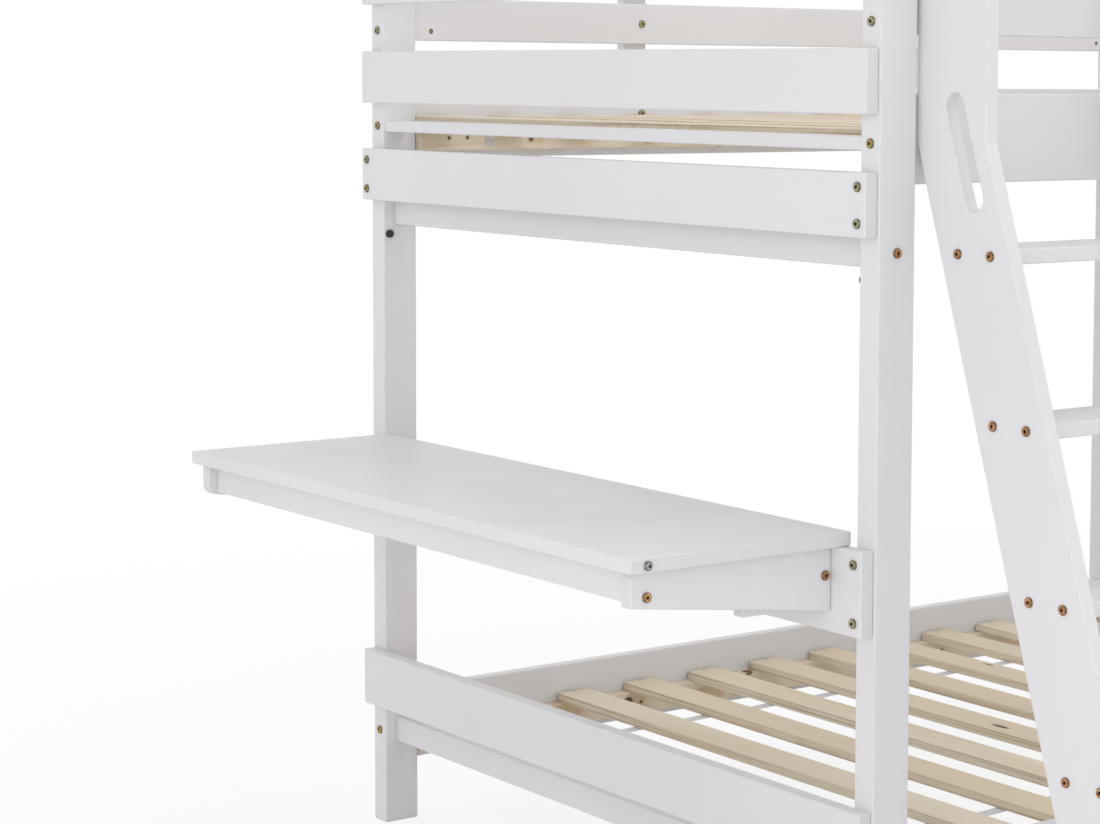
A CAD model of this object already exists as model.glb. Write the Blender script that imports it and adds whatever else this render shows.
import random
from math import cos, pi, radians, sin

import bmesh
import bpy
from mathutils import Matrix, Vector


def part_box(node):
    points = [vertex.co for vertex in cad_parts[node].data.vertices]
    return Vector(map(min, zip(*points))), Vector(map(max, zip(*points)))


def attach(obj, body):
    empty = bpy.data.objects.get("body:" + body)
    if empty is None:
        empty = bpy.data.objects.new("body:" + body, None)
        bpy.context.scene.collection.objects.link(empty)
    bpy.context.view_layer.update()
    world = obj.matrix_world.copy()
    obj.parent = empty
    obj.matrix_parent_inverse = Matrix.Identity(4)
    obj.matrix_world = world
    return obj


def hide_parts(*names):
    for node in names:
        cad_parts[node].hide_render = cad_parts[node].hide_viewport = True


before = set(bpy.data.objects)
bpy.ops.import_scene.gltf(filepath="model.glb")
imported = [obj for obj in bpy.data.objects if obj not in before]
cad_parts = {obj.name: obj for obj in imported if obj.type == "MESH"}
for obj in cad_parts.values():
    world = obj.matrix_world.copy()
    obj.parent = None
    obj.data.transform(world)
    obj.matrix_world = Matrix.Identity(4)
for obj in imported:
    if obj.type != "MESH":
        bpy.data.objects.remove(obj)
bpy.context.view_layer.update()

# A white bunk bed with a fold-up table. Metres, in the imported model's own frame.

# The camera's place is taken from the outer lower corner of the near table-end post
photo_width = 1100
photo_height = 824
sensor_width = 36
camera_from_corner = Vector((-2.5682, -2.9305, 1.4241))
camera_yaw = radians(51.86)
camera_pitch = radians(-4.57)
camera_roll = radians(0.38)
focal_pixels = 2668.6
centre_pixel_x = 735
centre_pixel_y = 290

# Light
sky_strength = 0.85
sky_colour = (0.985, 0.985, 1.0, 1)
lamps = (
    # name, place, aimed at, size, watts
    ("window_side_lamp", (-6.0, -2.0, 1.6), (0.0, 0.0, 0.9), 3.5, 48),
    ("front_lamp", (-3.6, -5.4, 1.9), (0.0, 0.0, 0.9), 2.6, 10),
    ("ladder_side_lamp", (1.5, -6.5, 2.6), (0.0, 0.0, 0.9), 3.0, 5),
    ("ceiling_lamp", (0.3, -1.2, 4.6), (0.0, 0.4, 0.8), 2.5, 38),
)
floor_size = 60
floor_white_share = 0.82
floor_shadow_reach = (1.2, 4.5)
floor_colour = (0.93, 0.93, 0.94, 1)
backdrop_white = (1, 1, 1, 1)

# White lacquer
paint_light = (0.765, 0.758, 0.768, 1)
paint_shade = (0.738, 0.731, 0.74, 1)
paint_on_ends = (0.7, 0.693, 0.7, 1)
paint_thin = (0.65, 0.635, 0.61, 1)
paint_speck = (0.2, 0.17, 0.14, 1)
paint_roughness = (0.33, 0.45)
paint_specular = 0.42
paint_cloud_scale = 1.9
paint_patch_scale = 46
paint_speck_scale = 9.5
paint_speck_rim = (0.0095, 0.006)
paint_smudge_scale = 7
paint_peel_scale = 900
paint_wave_depth = 0.00035
paint_fibre_depth = 0.00006
paint_peel_depth = 0.00001

# Each pair of scales is across the grain and along it
paint_fibres = (420, 9)
paint_waves = (30, 1.5)
pine_drift = (9.0, 0.9)
pine_fibres = (520, 14)
pine_resin = (160, 3)
pine_stains = (17, 11)

# Bare pine
pine_early = (0.78, 0.69, 0.535, 1)
pine_middle = (0.73, 0.625, 0.475, 1)
pine_late = (0.57, 0.44, 0.3, 1)
pine_knot = (0.16, 0.075, 0.035, 1)
pine_pale = (0.81, 0.75, 0.625, 1)
pine_layer = (0.36, 0.24, 0.14, 1)
pine_stain = (0.58, 0.36, 0.2, 1)
ring_width = 0.0042
ring_drift = 0.011
ring_tilt = (-0.006, 0.006)
heart_across_range = (-0.11, 0.05)
heart_below_range = (0.015, 0.07)
height_share = 0.2
board_shift = (7.0, 5.0, 3.0)
bunk_step = 31.0
pine_roughness = (0.58, 0.74)
pine_specular = 0.35
pine_ring_depth = 0.00006
pine_fibre_depth = 0.00012

# Scales of a slat's thin layers, level with it and up through it
pine_layers = (1.2, 330)

# Knots per metre across the grain and along it, and the rim's two distances from the middle
slat_knots = (8.0, 2.1, (0.06, 0.035))
ledger_knots = (16.0, 13.0, (0.19, 0.14))

# Metals, webbing and the catches
zinc_colours = ((0.62, 0.62, 0.6, 1), (0.46, 0.46, 0.45, 1))
brass_colours = ((0.6, 0.44, 0.17, 1), (0.36, 0.27, 0.1, 1))
olive_colours = ((0.52, 0.49, 0.3, 1), (0.27, 0.25, 0.14, 1))
copper_colours = ((0.64, 0.36, 0.17, 1), (0.34, 0.17, 0.08, 1))
stud_colours = ((0.66, 0.65, 0.6, 1), (0.42, 0.42, 0.37, 1))
nail_colours = ((0.2, 0.17, 0.14, 1), (0.1, 0.08, 0.06, 1))
rim_colour = (0.1, 0.09, 0.06, 1)
socket_shadow = (0.02, 0.017, 0.012, 1)
rim_shade = 0.72
socket_reach = 0.004
metal_roughness = (0.24, 0.4)
nail_roughness = (0.45, 0.65)
metal_cloud_scale = 210
scratch_scales = (1900, 700, 2600)
scratch_depth = 0.000012
olive_bolts_above = 1.42
webbing_light = (0.8, 0.8, 0.8, 1)
webbing_dark = (0.55, 0.55, 0.56, 1)
webbing_rib_pitch = 0.0016
webbing_rib_depth = 0.0002
webbing_sheen = 0.25
soil_scale = 60
catch_colour = (0.018, 0.018, 0.02, 1)
catch_worn_colour = (0.05, 0.05, 0.052, 1)
catch_wear_scale = 340
catch_grain_scale = 2600
catch_grain_depth = 0.00003

# Webbing tapes under the slats
slat_count = 12
ledger_row_pitch = 1.0
slat_width = 0.074
tape_width = 0.025
tape_thick = 0.0012
tape_sag = 0.0012
tape_steps_per_pitch = 12
thread_radius = 0.0005
thread_count = 18
thread_sides = 5
thread_steps = 6
thread_sway = (0.006, 0.008)
thread_lengths = (0.008, 0.019)
thread_curl = 0.005
thread_overlap = 0.002
thread_row_share = 0.95
thread_seed = 4
staple_width = 0.012
staple_leg = 0.0014
staple_in_wood = 0.002
staple_radius = 0.0005
staple_sides = 6

# The frayed tape's loose end: how far forward and down each of its points is
tail_steps = (
    (-0.003, -0.0006),
    (-0.007, -0.003),
    (-0.010, -0.008),
    (-0.011, -0.014),
    (-0.009, -0.019),
)

# The studs' heads: radius and rise from the table's end, from the rim to the socket
head_profile = (
    (0.007, -0.002),
    (0.007, 0.0022),
    (0.0064, 0.0036),
    (0.0052, 0.0046),
    (0.004, 0.005),
)
socket_radius = 0.0026
socket_depth = 0.0024
head_sides = 36

axis_names = "XYZ"
smooth_below = radians(40)
view_reach = 200


class Finish:
    """A material being made: small calls that each add one node."""

    def __init__(self, name):
        self.material = bpy.data.materials.new(name)
        self.material.use_nodes = True
        self.nodes = self.material.node_tree.nodes
        self.links = self.material.node_tree.links
        self.surface = self.nodes["Principled BSDF"]
        place = self.nodes.new("ShaderNodeTexCoord")
        self.place = place.outputs["Object"]
        self.facing = place.outputs["Normal"]

    def feed(self, socket, value):
        """Link a socket to another, or set it to a constant."""
        if isinstance(value, bpy.types.NodeSocket):
            self.links.new(value, socket)
        else:
            socket.default_value = value

    def set(self, name, value):
        self.feed(self.surface.inputs[name], value)

    def math(self, operation, *values):
        node = self.nodes.new("ShaderNodeMath")
        node.operation = operation
        for socket, value in zip(node.inputs, values):
            self.feed(socket, value)
        return node.outputs[0]

    def part(self, vector, axis):
        """One component of a vector, by the axis's letter."""
        node = self.nodes.new("ShaderNodeSeparateXYZ")
        self.feed(node.inputs[0], vector)
        return node.outputs[axis]

    def join(self, x, y, z):
        node = self.nodes.new("ShaderNodeCombineXYZ")
        for socket, value in zip(node.inputs, (x, y, z)):
            self.feed(socket, value)
        return node.outputs[0]

    def scaled(self, vector, factors):
        node = self.nodes.new("ShaderNodeVectorMath")
        node.operation = "MULTIPLY"
        self.feed(node.inputs[0], vector)
        node.inputs[1].default_value = factors
        return node.outputs[0]

    def along(self, axis, across_scale, along_scale, place=None):
        """Coordinates for fibres: one scale across an axis and another along it."""
        factors = [along_scale if name == axis else across_scale for name in axis_names]
        return self.scaled(self.place if place is None else place, factors)

    def noise(self, vector, scale=1.0, detail=3.0, roughness=0.5):
        node = self.nodes.new("ShaderNodeTexNoise")
        self.feed(node.inputs["Vector"], vector)
        node.inputs["Scale"].default_value = scale
        node.inputs["Detail"].default_value = detail
        node.inputs["Roughness"].default_value = roughness
        return node.outputs["Fac"]

    def cells(self, vector, scale=1.0):
        """Distance to the nearest of scattered points."""
        node = self.nodes.new("ShaderNodeTexVoronoi")
        self.feed(node.inputs["Vector"], vector)
        node.inputs["Scale"].default_value = scale
        return node.outputs["Distance"]

    def chance(self, value):
        """Three random numbers for a whole number, as a colour."""
        node = self.nodes.new("ShaderNodeTexWhiteNoise")
        node.noise_dimensions = "1D"
        self.feed(node.inputs["W"], value)
        return node.outputs["Color"]

    def spread(self, value, low, high, to_low=0.0, to_high=1.0):
        """Map one range of values to another, smoothly and with stops at both ends."""
        node = self.nodes.new("ShaderNodeMapRange")
        node.interpolation_type = "SMOOTHSTEP"
        for socket, number in zip(node.inputs, (value, low, high, to_low, to_high)):
            self.feed(socket, number)
        return node.outputs[0]

    def ramp(self, value, stops):
        """Colours along a value from 0 to 1."""
        node = self.nodes.new("ShaderNodeValToRGB")
        self.feed(node.inputs[0], value)
        elements = node.color_ramp.elements
        while len(elements) < len(stops):
            elements.new(0.5)
        for element, (position, colour) in zip(elements, stops):
            element.position = position
            element.color = colour
        return node.outputs[0]

    def mix(self, share, first, second):
        """Two colours in a share of the second. Its node's sockets 6, 7 and 2 are the colours'."""
        node = self.nodes.new("ShaderNodeMix")
        node.data_type = "RGBA"
        self.feed(node.inputs["Factor"], share)
        self.feed(node.inputs[6], first)
        self.feed(node.inputs[7], second)
        return node.outputs[2]

    def bump(self, height, depth, strength=1.0, under=None):
        """Relief of a real depth in metres, on top of other relief."""
        node = self.nodes.new("ShaderNodeBump")
        node.inputs["Strength"].default_value = strength
        node.inputs["Distance"].default_value = depth
        self.feed(node.inputs["Height"], height)
        if under is not None:
            self.feed(node.inputs["Normal"], under)
        return node.outputs[0]

    def eased_edges(self, leaning):
        """1 on the rounded edges of a board, 0 on its flat faces."""
        parts = [self.math("ABSOLUTE", self.part(self.facing, name)) for name in axis_names]
        if leaning:
            squared = self.math("MULTIPLY", parts[0], parts[0])
            rest = self.math("SQRT", self.math("SUBTRACT", 1.0, squared))
            flatness = self.math("MAXIMUM", parts[0], rest)
        else:
            flatness = self.math("MAXIMUM", parts[0], self.math("MAXIMUM", parts[1], parts[2]))
        return self.spread(flatness, 0.985, 0.9)


# Finishes
def make_paint(grain, leaning=False):
    """Satin white lacquer on planed boards, thin on the edges, with the grain faint below."""
    finish = Finish(f"white_paint_{grain}{'_leaning' if leaning else ''}")
    cloud = finish.noise(finish.place, paint_cloud_scale)
    colour = finish.ramp(cloud, ((0.35, paint_shade), (0.65, paint_light)))
    end_facing = finish.math("ABSOLUTE", finish.part(finish.facing, grain))
    on_ends = finish.spread(end_facing, 0.8, 0.97, 0.0, 0.7)
    colour = finish.mix(on_ends, colour, paint_on_ends)
    patches = finish.spread(finish.noise(finish.place, paint_patch_scale, detail=4), 0.5, 0.66)
    rubbed = finish.math("MULTIPLY", finish.eased_edges(leaning), patches)
    colour = finish.mix(finish.math("MULTIPLY", rubbed, 0.55), colour, paint_thin)
    specks = finish.spread(finish.cells(finish.place, paint_speck_scale), *paint_speck_rim)
    colour = finish.mix(specks, colour, paint_speck)
    finish.set("Base Color", colour)
    smudges = finish.noise(finish.place, paint_smudge_scale, detail=5)
    finish.set("Roughness", finish.spread(smudges, 0.3, 0.7, *paint_roughness))
    fibres = finish.noise(finish.along(grain, *paint_fibres), detail=4, roughness=0.6)
    waves = finish.noise(finish.along(grain, *paint_waves), detail=2)
    relief = finish.bump(waves, paint_wave_depth)
    relief = finish.bump(fibres, paint_fibre_depth, under=relief)
    peel = finish.noise(finish.place, paint_peel_scale, detail=1)
    finish.set("Normal", finish.bump(peel, paint_peel_depth, under=relief))
    finish.set("Specular IOR Level", paint_specular)
    return finish.material


def make_pine(grain, across, row_pitch, row_start, is_slat):
    """Bare pine, each board from its own place in the trunk. Slats show thin layers, ledgers stains."""
    finish = Finish(f"pine_{grain}")
    height = finish.part(finish.place, "Z")
    length = finish.part(finish.place, grain)
    offset = finish.math("SUBTRACT", finish.part(finish.place, across), row_start)
    turns = finish.math("DIVIDE", offset, row_pitch)
    row = finish.math("FLOOR", turns)
    in_row = finish.math("MULTIPLY", finish.math("FRACT", turns), row_pitch)
    level = finish.math("FLOOR", height)
    board = finish.math("ADD", row, finish.math("MULTIPLY", level, bunk_step))
    luck = finish.chance(board)
    lucks = [finish.part(luck, name) for name in axis_names]
    first_luck, second_luck, third_luck = lucks
    shifts = [finish.math("MULTIPLY", share, reach) for share, reach in zip(lucks, board_shift)]
    add = finish.nodes.new("ShaderNodeVectorMath")
    finish.feed(add.inputs[0], finish.place)
    finish.feed(add.inputs[1], finish.join(*shifts))
    own_place = add.outputs[0]

    # Growth rings about the trunk's heart, which wander and part round knots
    knots_across, knots_along, knot_rim = slat_knots if is_slat else ledger_knots
    knots = finish.cells(finish.along(grain, knots_across, knots_along, own_place))
    drawn_out = finish.along(grain, *pine_drift, own_place)
    drift = finish.noise(drawn_out, detail=2)
    heart_across = finish.spread(first_luck, 0.0, 1.0, *heart_across_range)
    heart_below = finish.spread(second_luck, 0.0, 1.0, *heart_below_range)
    sideways = finish.math("ADD", in_row, heart_across)
    level_part = finish.math("MULTIPLY", finish.math("SUBTRACT", height, level), height_share)
    upward = finish.math("ADD", level_part, heart_below)
    squares = finish.math(
        "ADD", finish.math("MULTIPLY", sideways, sideways), finish.math("MULTIPLY", upward, upward)
    )
    radius = finish.math("SQRT", squares)
    radius = finish.math("ADD", radius, finish.math("MULTIPLY", drift, ring_drift * 2))
    tilt = finish.spread(third_luck, 0.0, 1.0, *ring_tilt)
    radius = finish.math("ADD", radius, finish.math("MULTIPLY", length, tilt))
    radius = finish.math("ADD", radius, finish.spread(knots, 0.3, 0.02, 0.0, ring_drift))
    ring = finish.math("FRACT", finish.math("DIVIDE", radius, ring_width))

    # Colours, from the rings to the stains, knots and layers over them
    colour = finish.ramp(
        ring, ((0.0, pine_early), (0.55, pine_middle), (0.86, pine_late), (1.0, pine_early))
    )
    colour = finish.mix(0.5, colour, finish.mix(first_luck, pine_early, pine_middle))
    pale = finish.spread(finish.noise(drawn_out, 0.6), 0.45, 0.7)
    colour = finish.mix(finish.math("MULTIPLY", pale, 0.6), colour, pine_pale)
    fibres = finish.noise(finish.along(grain, *pine_fibres, own_place), detail=3, roughness=0.65)
    streaks = finish.spread(fibres, 0.55, 0.8, 0.0, 0.35)
    colour = finish.mix(streaks, colour, pine_late)
    resin = finish.noise(finish.along(grain, *pine_resin, own_place), detail=2)
    colour = finish.mix(finish.spread(resin, 0.68, 0.78, 0.0, 0.7), colour, pine_late)
    if not is_slat:
        stains = finish.noise(finish.along(grain, *pine_stains, own_place), detail=1)
        colour = finish.mix(finish.spread(stains, 0.55, 0.6, 0.0, 0.5), colour, pine_stain)
    colour = finish.mix(finish.spread(knots, *knot_rim), colour, pine_knot)
    sanded = finish.math("MULTIPLY", finish.eased_edges(False), 0.3)
    colour = finish.mix(sanded, colour, pine_pale)
    if is_slat:
        layers = finish.noise(finish.along("Z", *pine_layers, own_place), detail=2)
        side_facing = finish.math("ABSOLUTE", finish.part(finish.facing, across))
        on_sides = finish.spread(side_facing, 0.7, 0.95)
        lines = finish.math("MULTIPLY", on_sides, finish.spread(layers, 0.55, 0.63, 0.0, 0.6))
        colour = finish.mix(lines, colour, pine_layer)
    finish.set("Base Color", colour)
    finish.set("Roughness", finish.spread(fibres, 0.3, 0.7, *pine_roughness))
    relief = finish.bump(ring, pine_ring_depth)
    finish.set("Normal", finish.bump(fibres, pine_fibre_depth, under=relief))
    finish.set("Specular IOR Level", pine_specular)
    return finish.material


def make_metal(name, colours, roughness=metal_roughness):
    """Plated steel, a little uneven, with dark sockets and fine scratches."""
    finish = Finish(name)
    colour = metal_colour(finish, colours)
    return finish_metal(finish, colour, roughness)


def metal_colour(finish, colours):
    clouds = finish.noise(finish.place, metal_cloud_scale)
    return finish.ramp(clouds, ((0.35, colours[1]), (0.62, colours[0])))


def finish_metal(finish, colour, roughness):
    """Dark rims and sockets over a metal's colour, then its polish and scratches."""
    hollow = finish.nodes.new("ShaderNodeAmbientOcclusion")
    hollow.inputs["Distance"].default_value = socket_reach
    depth = finish.spread(hollow.outputs["AO"], 0.8, 0.4)
    rim = finish.math("MULTIPLY", finish.eased_edges(False), rim_shade)
    colour = finish.mix(rim, colour, rim_colour)
    finish.set("Base Color", finish.mix(depth, colour, socket_shadow))
    finish.set("Metallic", 1.0)
    scratches = finish.noise(finish.scaled(finish.place, scratch_scales), detail=2)
    finish.set("Roughness", finish.spread(scratches, 0.3, 0.7, *roughness))
    finish.set("Normal", finish.bump(scratches, scratch_depth))
    return finish.material


def make_rail_bolt_metal():
    """Yellow plating on the side rails' bolts and olive plating on the guard rails' bolts."""
    finish = Finish("rail_bolt_plating")
    height = finish.part(finish.place, "Z")
    upper = finish.math("GREATER_THAN", height, olive_bolts_above)
    colour = finish.mix(
        upper, metal_colour(finish, brass_colours), metal_colour(finish, olive_colours)
    )
    return finish_metal(finish, colour, metal_roughness)


def make_webbing():
    """Flat woven tape: fine ribs across its length, with slightly soiled threads."""
    finish = Finish("woven_webbing")
    rib_turns = 2 * pi / webbing_rib_pitch
    lengthwise = finish.math("MULTIPLY", finish.part(finish.place, "X"), rib_turns)
    crosswise = finish.math("MULTIPLY", finish.part(finish.place, "Y"), rib_turns)
    weave = finish.math(
        "MULTIPLY", finish.math("SINE", lengthwise), finish.math("SINE", crosswise)
    )
    height = finish.spread(weave, -1.0, 1.0)
    soil = finish.noise(finish.place, soil_scale, detail=4)
    tone = finish.math("MULTIPLY", height, finish.spread(soil, 0.3, 0.7, 0.6, 1.0))
    finish.set("Base Color", finish.ramp(tone, ((0.0, webbing_dark), (0.6, webbing_light))))
    finish.set("Roughness", finish.spread(soil, 0.3, 0.7, 0.75, 0.9))
    finish.set("Sheen Weight", webbing_sheen)
    finish.set("Normal", finish.bump(height, webbing_rib_depth))
    return finish.material


def make_black_plastic():
    """Moulded black plastic, finely grained and dulled on its rim."""
    finish = Finish("moulded_black")
    worn = finish.spread(finish.noise(finish.place, catch_wear_scale, detail=4), 0.52, 0.7)
    finish.set("Base Color", finish.mix(worn, catch_colour, catch_worn_colour))
    grain = finish.noise(finish.place, catch_grain_scale, detail=2)
    finish.set("Roughness", finish.spread(grain, 0.3, 0.7, 0.38, 0.55))
    finish.set("Normal", finish.bump(grain, catch_grain_depth))
    return finish.material


def dress(material, *names):
    """Give CAD nodes a finish."""
    for name in names:
        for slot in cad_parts[name].material_slots:
            slot.material = material


upper_slat_low, upper_slat_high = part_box("upper_slats")
lower_slat_low, lower_slat_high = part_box("lower_slats")
slat_pitch = (upper_slat_high.x - upper_slat_low.x - slat_width) / (slat_count - 1)
row_start = upper_slat_low.x - (slat_pitch - slat_width) / 2

paint_x = make_paint("X")
paint_y = make_paint("Y")
paint_z = make_paint("Z")
dress(
    paint_x,
    "near_upper_side_rail",
    "far_upper_side_rail",
    "near_lower_side_rail",
    "far_lower_side_rail",
    "near_lower_guard_rail",
    "far_lower_guard_rail",
    "near_upper_guard_rail",
    "far_upper_guard_rail",
    "ladder_treads",
    "near_table_arm",
    "far_table_arm",
    "table_arm_blocks",
)
dress(
    paint_y,
    "table_end_top_board",
    "table_end_upper_board",
    "table_end_lower_board",
    "table_bearer_board",
    "table_end_low_board",
    "head_end_top_board",
    "head_end_upper_board",
    "head_end_lower_board",
    "head_end_middle_board",
    "head_end_low_board",
    "table_stop_rail",
    "table_end_low_rail",
    "head_end_low_rail",
    "table_end_slat_rail",
    "head_end_slat_rail",
    "table_board",
    "table_apron",
    "table_batten",
)
dress(
    paint_z,
    "near_table_post",
    "far_table_post",
    "near_head_post",
    "far_head_post",
    "guard_uprights",
)
dress(make_paint("Z", leaning=True), "ladder_left_stile", "ladder_right_stile")
slat_pine = make_pine("Y", "X", slat_pitch, row_start, is_slat=True)
dress(slat_pine, "upper_slats", "lower_slats")
ledger_pine = make_pine("X", "Y", ledger_row_pitch, 0.0, is_slat=False)
dress(ledger_pine, "upper_ledgers", "lower_ledgers", "frame_dowels")
olive = make_metal("olive_plating", olive_colours)
dress(olive, "end_board_bolts", "upright_bolts", "frame_barrel_nuts", "table_barrel_nuts")
dress(
    make_metal("copper_plating", copper_colours),
    "cross_rail_bolts",
    "ladder_bolts",
    "table_bolts",
)
dress(make_rail_bolt_metal(), "rail_bolts")
zinc = make_metal("bright_plating", zinc_colours)
dress(
    zinc,
    "frame_screws",
    "table_screws",
    "hinge_frame_leaves",
    "hinge_table_leaves",
    "hinge_pins",
    "ladder_brackets",
)
dress(make_metal("nail_steel", nail_colours, nail_roughness), "slat_nails")
dress(make_black_plastic(), "table_catches")


# Pieces made here
def skin(rings):
    """Points and faces of a closed skin over rings of points."""
    points = [point for ring in rings for point in ring]
    count = len(rings[0])
    faces = [tuple(range(count)), tuple(range(len(points) - count, len(points)))]
    for start in range(0, len(points) - count, count):
        for step in range(count):
            first = start + step
            second = start + (step + 1) % count
            faces.append((first, second, second + count, first + count))
    return points, faces


def make_piece(name, skins, material, body):
    """One object from several closed skins, riding on a body."""
    points = []
    faces = []
    for skin_points, skin_faces in skins:
        start = len(points)
        points += skin_points
        faces += [tuple(start + index for index in face) for face in skin_faces]
    mesh = bpy.data.meshes.new(name)
    mesh.from_pydata(points, [], faces)
    shape = bmesh.new()
    shape.from_mesh(mesh)
    bmesh.ops.recalc_face_normals(shape, faces=shape.faces)
    shape.to_mesh(mesh)
    shape.free()
    mesh.shade_smooth()
    mesh.set_sharp_from_angle(angle=smooth_below)
    mesh.materials.append(material)
    piece = bpy.data.objects.new(name, mesh)
    bpy.context.scene.collection.objects.link(piece)
    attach(piece, body)
    return piece


def ribbon_ring(middle, along, half_width, half_thick):
    """A flat section with blunt edges, square to the tape's run."""
    side = Vector((0, 1, 0))
    up = side.cross(along).normalized()
    inner = half_width - half_thick
    outline = (
        (half_width, 0),
        (inner, half_thick),
        (0, half_thick),
        (-inner, half_thick),
        (-half_width, 0),
        (-inner, -half_thick),
        (0, -half_thick),
        (inner, -half_thick),
    )
    return [middle + side * across + up * height for across, height in outline]


def run_at(path, index):
    """The path's direction at one of its points."""
    before = path[max(index - 1, 0)]
    after = path[min(index + 1, len(path) - 1)]
    return (after - before).normalized()


def tube_rings(path, radius, sides):
    """Round sections along a path."""
    rings = []
    for index, point in enumerate(path):
        turn = run_at(path, index).to_track_quat("Z", "Y").to_matrix()
        ring = []
        for step in range(sides):
            angle = step * 2 * pi / sides
            ring.append(point + turn @ Vector((cos(angle), sin(angle), 0)) * radius)
        rings.append(ring)
    return rings


def ribbon_skin(path):
    """The tape's skin along a path."""
    return skin(
        [
            ribbon_ring(point, run_at(path, index), tape_width / 2, tape_thick / 2)
            for index, point in enumerate(path)
        ]
    )


def tape_path(row, slat_low, slat_high):
    """Under every slat, with a slight sag where the tape crosses a gap."""
    under = slat_low.z - tape_thick / 2
    run = slat_high.x - slat_low.x
    steps = tape_steps_per_pitch * slat_count
    path = []
    for step in range(steps + 1):
        offset = run * step / steps
        in_gap = offset % slat_pitch - slat_width
        sag = 0.0
        if in_gap > 0:
            sag = tape_sag * sin(pi * in_gap / (slat_pitch - slat_width))
        path.append(Vector((slat_low.x + offset, row, under - sag)))
    return path


def loose_tail(start):
    """The tape's cut end, which hangs in front of the first slat."""
    return [start + Vector((forward, 0, down)) for forward, down in tail_steps]


def frayed_threads(end, luck):
    """Loose threads that cross each other below a cut end."""
    skins = []
    for index in range(thread_count):
        across = (index / (thread_count - 1) - 0.5) * tape_width * thread_row_share
        start = end + Vector((0, across, thread_overlap))
        sway_forward = luck.uniform(-thread_sway[0], thread_sway[0])
        sway_across = luck.uniform(-thread_sway[1], thread_sway[1])
        sway = Vector((sway_forward, sway_across, 0))
        length = luck.uniform(*thread_lengths)
        curl = luck.uniform(-thread_curl, thread_curl)
        path = []
        for step in range(thread_steps + 1):
            share = step / thread_steps
            drop = Vector((0, 0, -length * share))
            bend = sway * share * share
            wave = Vector((curl * sin(pi * share), curl * sin(2 * pi * share), 0))
            path.append(start + drop + bend + wave)
        skins.append(skin(tube_rings(path, thread_radius, thread_sides)))
    return skins


def make_tape(name, row, slat_low, slat_high, material, frayed=False):
    """One webbing tape, woven and flat, fixed under every slat."""
    path = tape_path(row, slat_low, slat_high)
    skins = []
    if frayed:
        path = list(reversed(loose_tail(path[0]))) + path
        skins = frayed_threads(path[0], random.Random(thread_seed))
    tape = make_piece(name, [ribbon_skin(path)] + skins, material, "frame")
    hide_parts("slat_tapes")
    return tape


def staple_skin(middle):
    """A wire staple across the tape, pressed up into the slat."""
    half = staple_width / 2
    path = [
        middle + Vector((0, across, up))
        for across, up in (
            (-half, staple_leg + staple_in_wood),
            (-half, 0.0),
            (-half * 0.85, -staple_radius * 0.6),
            (half * 0.85, -staple_radius * 0.6),
            (half, 0.0),
            (half, staple_leg + staple_in_wood),
        )
    ]
    return skin(tube_rings(path, staple_radius, staple_sides))


tape_low, tape_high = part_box("slat_tapes")
near_tape_row = tape_low.y + tape_width / 2
far_tape_row = tape_high.y - tape_width / 2
webbing = make_webbing()
make_tape("near_upper_tape", near_tape_row, upper_slat_low, upper_slat_high, webbing)
make_tape("far_upper_tape", far_tape_row, upper_slat_low, upper_slat_high, webbing, frayed=True)
make_tape("near_lower_tape", near_tape_row, lower_slat_low, lower_slat_high, webbing)
make_tape("far_lower_tape", far_tape_row, lower_slat_low, lower_slat_high, webbing)
staples = [
    staple_skin(
        Vector((slat_low.x + slat_width / 2 + step * slat_pitch, row, slat_low.z - tape_thick))
    )
    for slat_low in (upper_slat_low, lower_slat_low)
    for row in (near_tape_row, far_tape_row)
    for step in range(slat_count)
]
make_piece("tape_staples", staples, zinc, "frame")


# Socketed heads on the table's two studs
def head_ring(centre, outward, radius, rise, hexagonal=False):
    """A round ring about a stud's axis, or a six-sided one for the socket."""
    ring = []
    for step in range(head_sides):
        angle = 2 * pi * step / head_sides
        reach = radius
        if hexagonal:
            reach = radius / cos((angle + pi / 6) % (pi / 3) - pi / 6)
        ring.append(centre + Vector((cos(angle) * reach, outward * rise, sin(angle) * reach)))
    return ring


def stud_skin(centre, outward):
    """A rounded head with a six-sided socket."""
    rings = [head_ring(centre, outward, radius, rise) for radius, rise in head_profile]
    rings += [
        head_ring(centre, outward, socket_radius, rise, hexagonal=True)
        for rise in (head_profile[-1][1], head_profile[-1][1] - socket_depth)
    ]
    return skin(rings)


stud_low, stud_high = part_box("table_studs")
near_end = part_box("table_board")[0].y
far_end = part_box("table_board")[1].y
stud_x = (stud_low.x + stud_high.x) / 2
stud_z = (stud_low.z + stud_high.z) / 2
stud_skins = [
    stud_skin(Vector((stud_x, near_end, stud_z)), -1),
    stud_skin(Vector((stud_x, far_end, stud_z)), 1),
]
stud_plating = make_metal("stud_plating", stud_colours)
studs = make_piece("table_stud_heads", stud_skins, stud_plating, "table")
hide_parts("table_studs")


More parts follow.
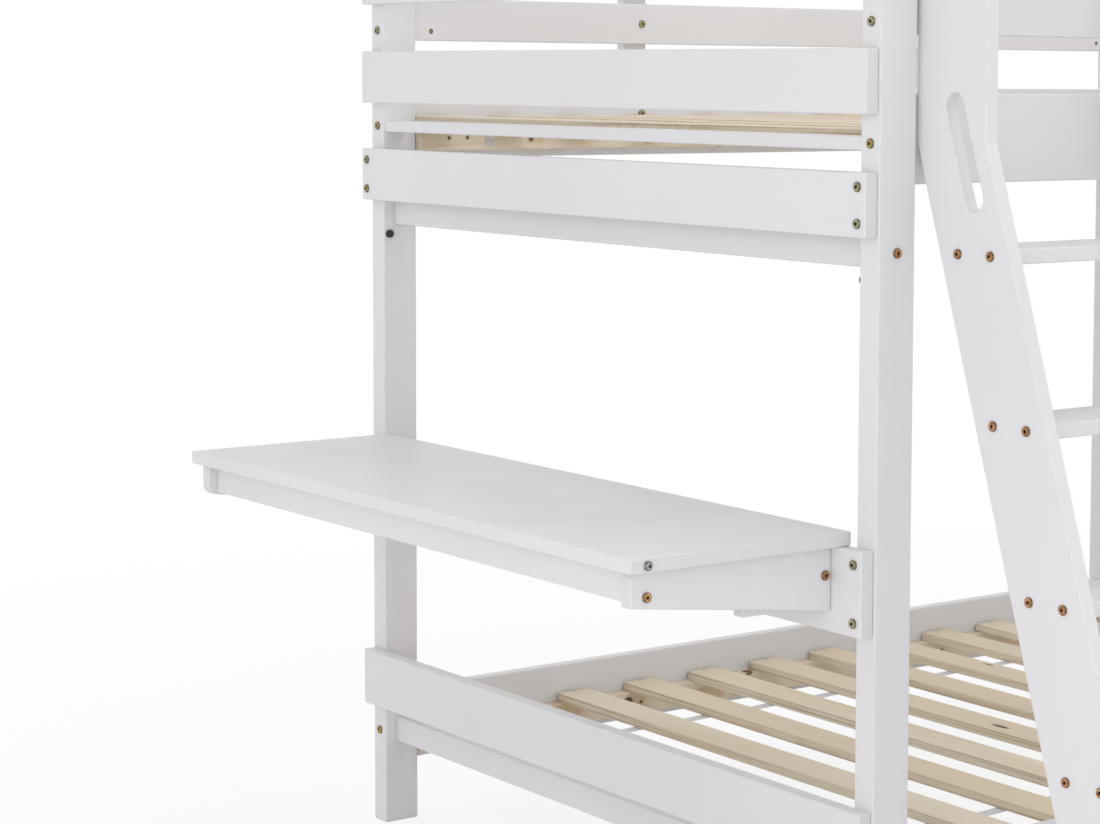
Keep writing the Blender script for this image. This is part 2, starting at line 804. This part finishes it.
# Floor, light and camera
def make_floor():
    """A plain floor that looks as white as the backdrop and keeps the bed's shadow."""
    half = floor_size / 2
    mesh = bpy.data.meshes.new("floor")
    corners = [(-half, -half, 0), (half, -half, 0), (half, half, 0), (-half, half, 0)]
    mesh.from_pydata(corners, [], [(0, 1, 2, 3)])
    floor = bpy.data.objects.new("floor", mesh)
    bpy.context.scene.collection.objects.link(floor)
    finish = Finish("floor")
    finish.nodes.remove(finish.surface)
    matt = finish.nodes.new("ShaderNodeBsdfDiffuse")
    matt.inputs["Color"].default_value = floor_colour
    white = finish.nodes.new("ShaderNodeEmission")
    white.inputs["Color"].default_value = backdrop_white
    rays = finish.nodes.new("ShaderNodeLightPath")
    span = finish.nodes.new("ShaderNodeVectorMath")
    span.operation = "LENGTH"
    finish.feed(span.inputs[0], finish.place)
    whiteness = finish.spread(span.outputs["Value"], *floor_shadow_reach, floor_white_share, 1.0)
    share = finish.math("MULTIPLY", rays.outputs["Is Camera Ray"], whiteness)
    mixed = finish.nodes.new("ShaderNodeMixShader")
    finish.feed(mixed.inputs[0], share)
    finish.feed(mixed.inputs[1], matt.outputs[0])
    finish.feed(mixed.inputs[2], white.outputs[0])
    finish.feed(finish.nodes["Material Output"].inputs[0], mixed.outputs[0])
    mesh.materials.append(finish.material)


def make_sky():
    """Even light all round, seen as plain white by the camera and in reflections."""
    world = bpy.data.worlds.new("studio")
    bpy.context.scene.world = world
    world.use_nodes = True
    nodes = world.node_tree.nodes
    links = world.node_tree.links
    nodes.clear()
    light = nodes.new("ShaderNodeBackground")
    light.inputs["Color"].default_value = sky_colour
    light.inputs["Strength"].default_value = sky_strength
    white = nodes.new("ShaderNodeBackground")
    white.inputs["Color"].default_value = backdrop_white
    white.inputs["Strength"].default_value = 1
    seen = nodes.new("ShaderNodeLightPath")
    direct = nodes.new("ShaderNodeMath")
    direct.operation = "MAXIMUM"
    links.new(seen.outputs["Is Camera Ray"], direct.inputs[0])
    links.new(seen.outputs["Is Transmission Ray"], direct.inputs[1])
    mixed = nodes.new("ShaderNodeMixShader")
    links.new(direct.outputs[0], mixed.inputs[0])
    links.new(light.outputs[0], mixed.inputs[1])
    links.new(white.outputs[0], mixed.inputs[2])
    out = nodes.new("ShaderNodeOutputWorld")
    links.new(mixed.outputs[0], out.inputs[0])


def make_lamp(name, place, target, size, watts):
    lamp = bpy.data.lights.new(name, "AREA")
    lamp.size = size
    lamp.energy = watts
    holder = bpy.data.objects.new(name, lamp)
    holder.location = place
    holder.rotation_euler = (Vector(target) - Vector(place)).to_track_quat("-Z", "Y").to_euler()
    bpy.context.scene.collection.objects.link(holder)


def make_camera():
    """The photograph's view, measured from the near table-end post."""
    camera = bpy.data.cameras.new("photo_view")
    camera.sensor_fit = "HORIZONTAL"
    camera.sensor_width = sensor_width
    camera.lens = focal_pixels * sensor_width / photo_width
    camera.shift_x = (photo_width / 2 - centre_pixel_x) / photo_width
    camera.shift_y = (centre_pixel_y - photo_height / 2) / photo_width
    camera.clip_end = view_reach
    holder = bpy.data.objects.new("photo_view", camera)
    forward = Vector(
        (
            cos(camera_pitch) * cos(camera_yaw),
            cos(camera_pitch) * sin(camera_yaw),
            sin(camera_pitch),
        )
    )
    level_right = forward.cross(Vector((0, 0, 1))).normalized()
    level_up = level_right.cross(forward)
    right = level_right * cos(camera_roll) + level_up * sin(camera_roll)
    up = right.cross(forward)
    turn = Matrix((right, up, -forward)).transposed()
    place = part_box("near_table_post")[0] + camera_from_corner
    holder.matrix_world = Matrix.Translation(place) @ turn.to_4x4()
    bpy.context.scene.collection.objects.link(holder)
    bpy.context.scene.camera = holder


make_floor()
make_sky()
for lamp_values in lamps:
    make_lamp(*lamp_values)
make_camera()
bpy.context.scene.view_settings.view_transform = "Standard"
